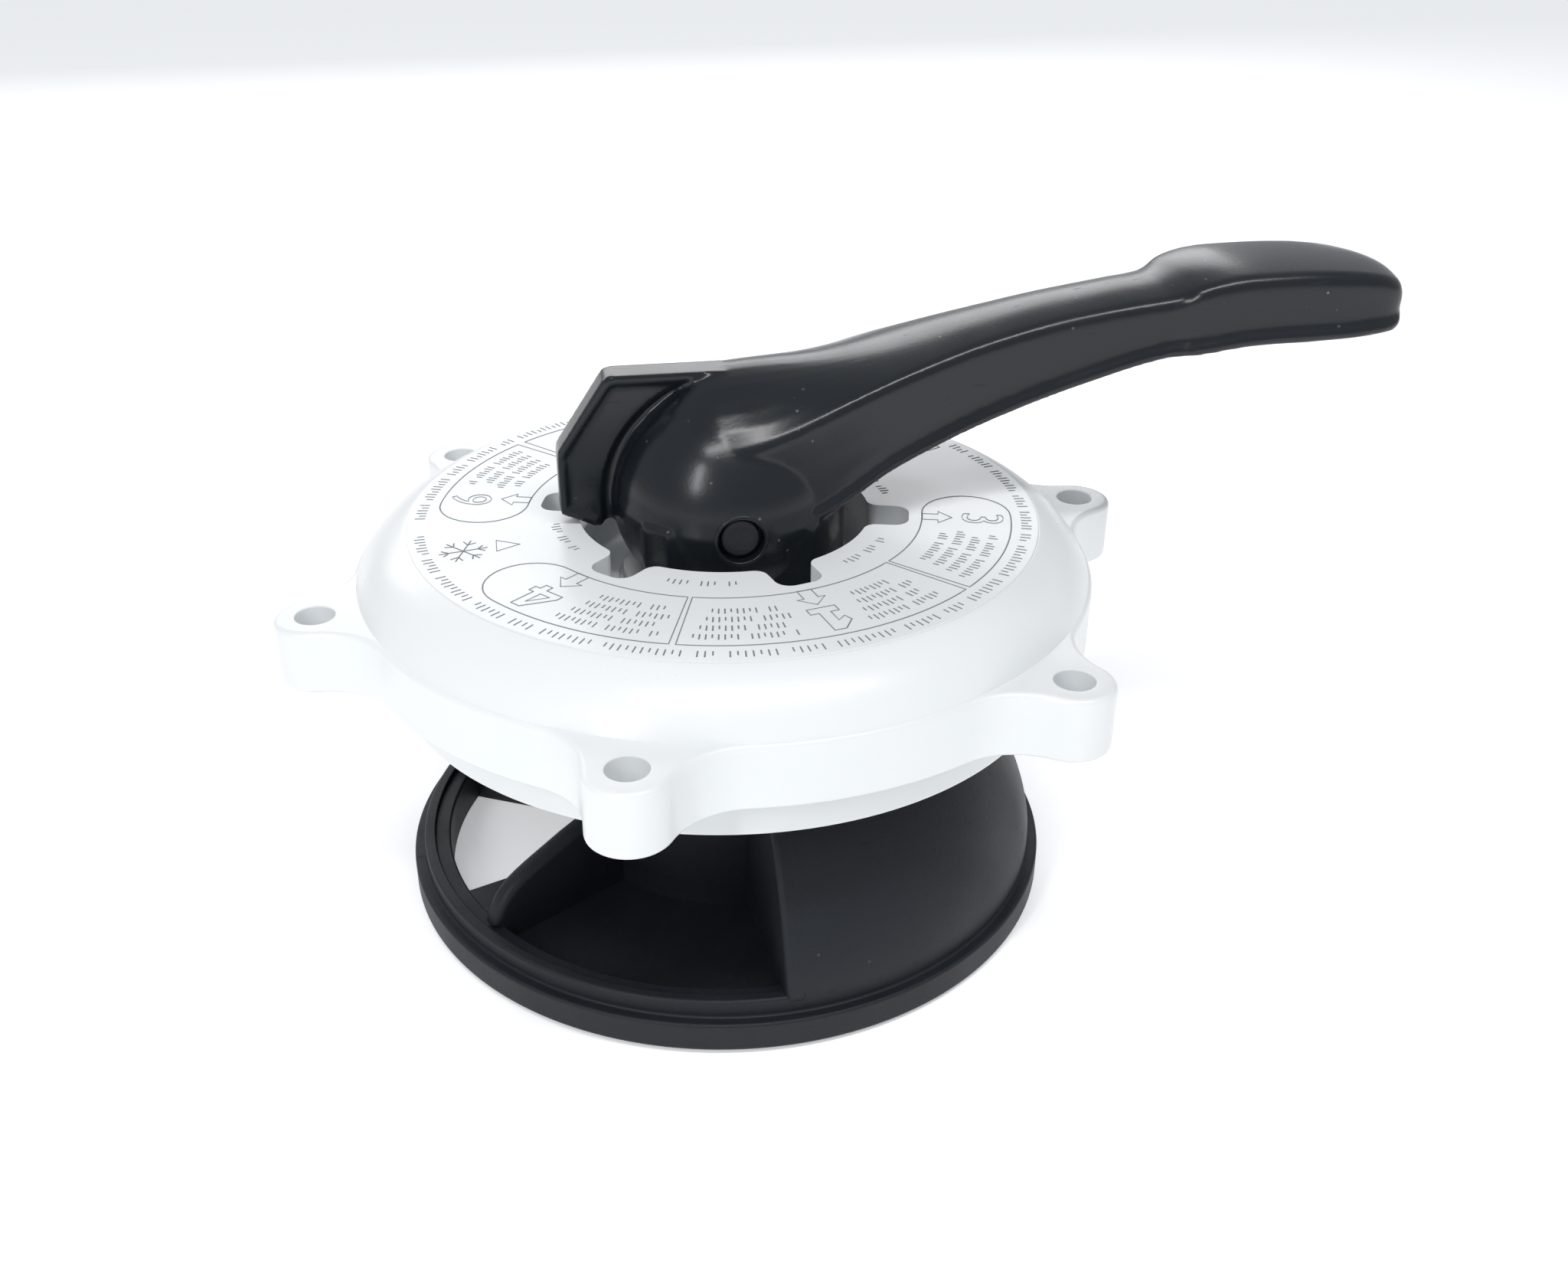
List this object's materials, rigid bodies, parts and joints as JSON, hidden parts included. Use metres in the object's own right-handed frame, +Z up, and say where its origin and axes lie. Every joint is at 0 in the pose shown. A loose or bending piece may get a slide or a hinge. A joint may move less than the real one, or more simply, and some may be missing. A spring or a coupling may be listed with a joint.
{
  "type": "multiport valve top assembly",
  "caption": "Pool filter multiport valve top: eared white cover with dial slots, black cam lever, spring-loaded rotor with window and domed passage.",
  "frame": {"origin": "centre of the bolt circle on the underside of the cover's flange", "axes": "+Z up along the stem, +X along the lever at rest"},
  "size_m": [0.2104, 0.1598, 0.1218],
  "materials": {
    "white_plastic": "semi-gloss moulded",
    "seal_rubber": "matte",
    "slide_plastic": "satin",
    "stainless_steel": "satin",
    "rotor_plastic": "fine satin moulding",
    "lever_plastic": "semi-gloss with light scuffs",
    "pin_plastic": "satin"
  },
  "bodies": {
    "cover_body": {"cover": "white_plastic", "cover_seal_ring": "seal_rubber", "steel_washer": "stainless_steel", "spring_washer_upper": "stainless_steel", "spring": "stainless_steel"},
    "turning_ring": {"slide_washer": "slide_plastic"},
    "rotor_body": {"rotor": "rotor_plastic", "rotor_gasket": "seal_rubber", "stem_seal_upper": "seal_rubber", "stem_seal_lower": "seal_rubber", "spring_slide_ring": "slide_plastic", "pivot_pin": "pin_plastic"},
    "lever_body": {"handle": "lever_plastic"}
  },
  "joints": [
    {"name": "rotor_turn", "type": "hinge", "parent": "cover_body", "child": "turning_ring", "pos_m": [0, 0, 0], "axis": [0, 0, 1], "continuous": true},
    {"name": "rotor_lift", "type": "slide", "parent": "turning_ring", "child": "rotor_body", "axis": [0, 0, 1], "range_m": [0, 0.004], "deforming": ["spring"]},
    {"name": "lever_tilt", "type": "hinge", "parent": "rotor_body", "child": "lever_body", "pos_m": [0, 0, 0.024], "axis": [0, 1, 0], "range_deg": [0, 15]}
  ],
  "couplings": [
    {"joint": "rotor_lift", "follows": "lever_tilt", "m_per_rad": 0.015278}
  ]
}
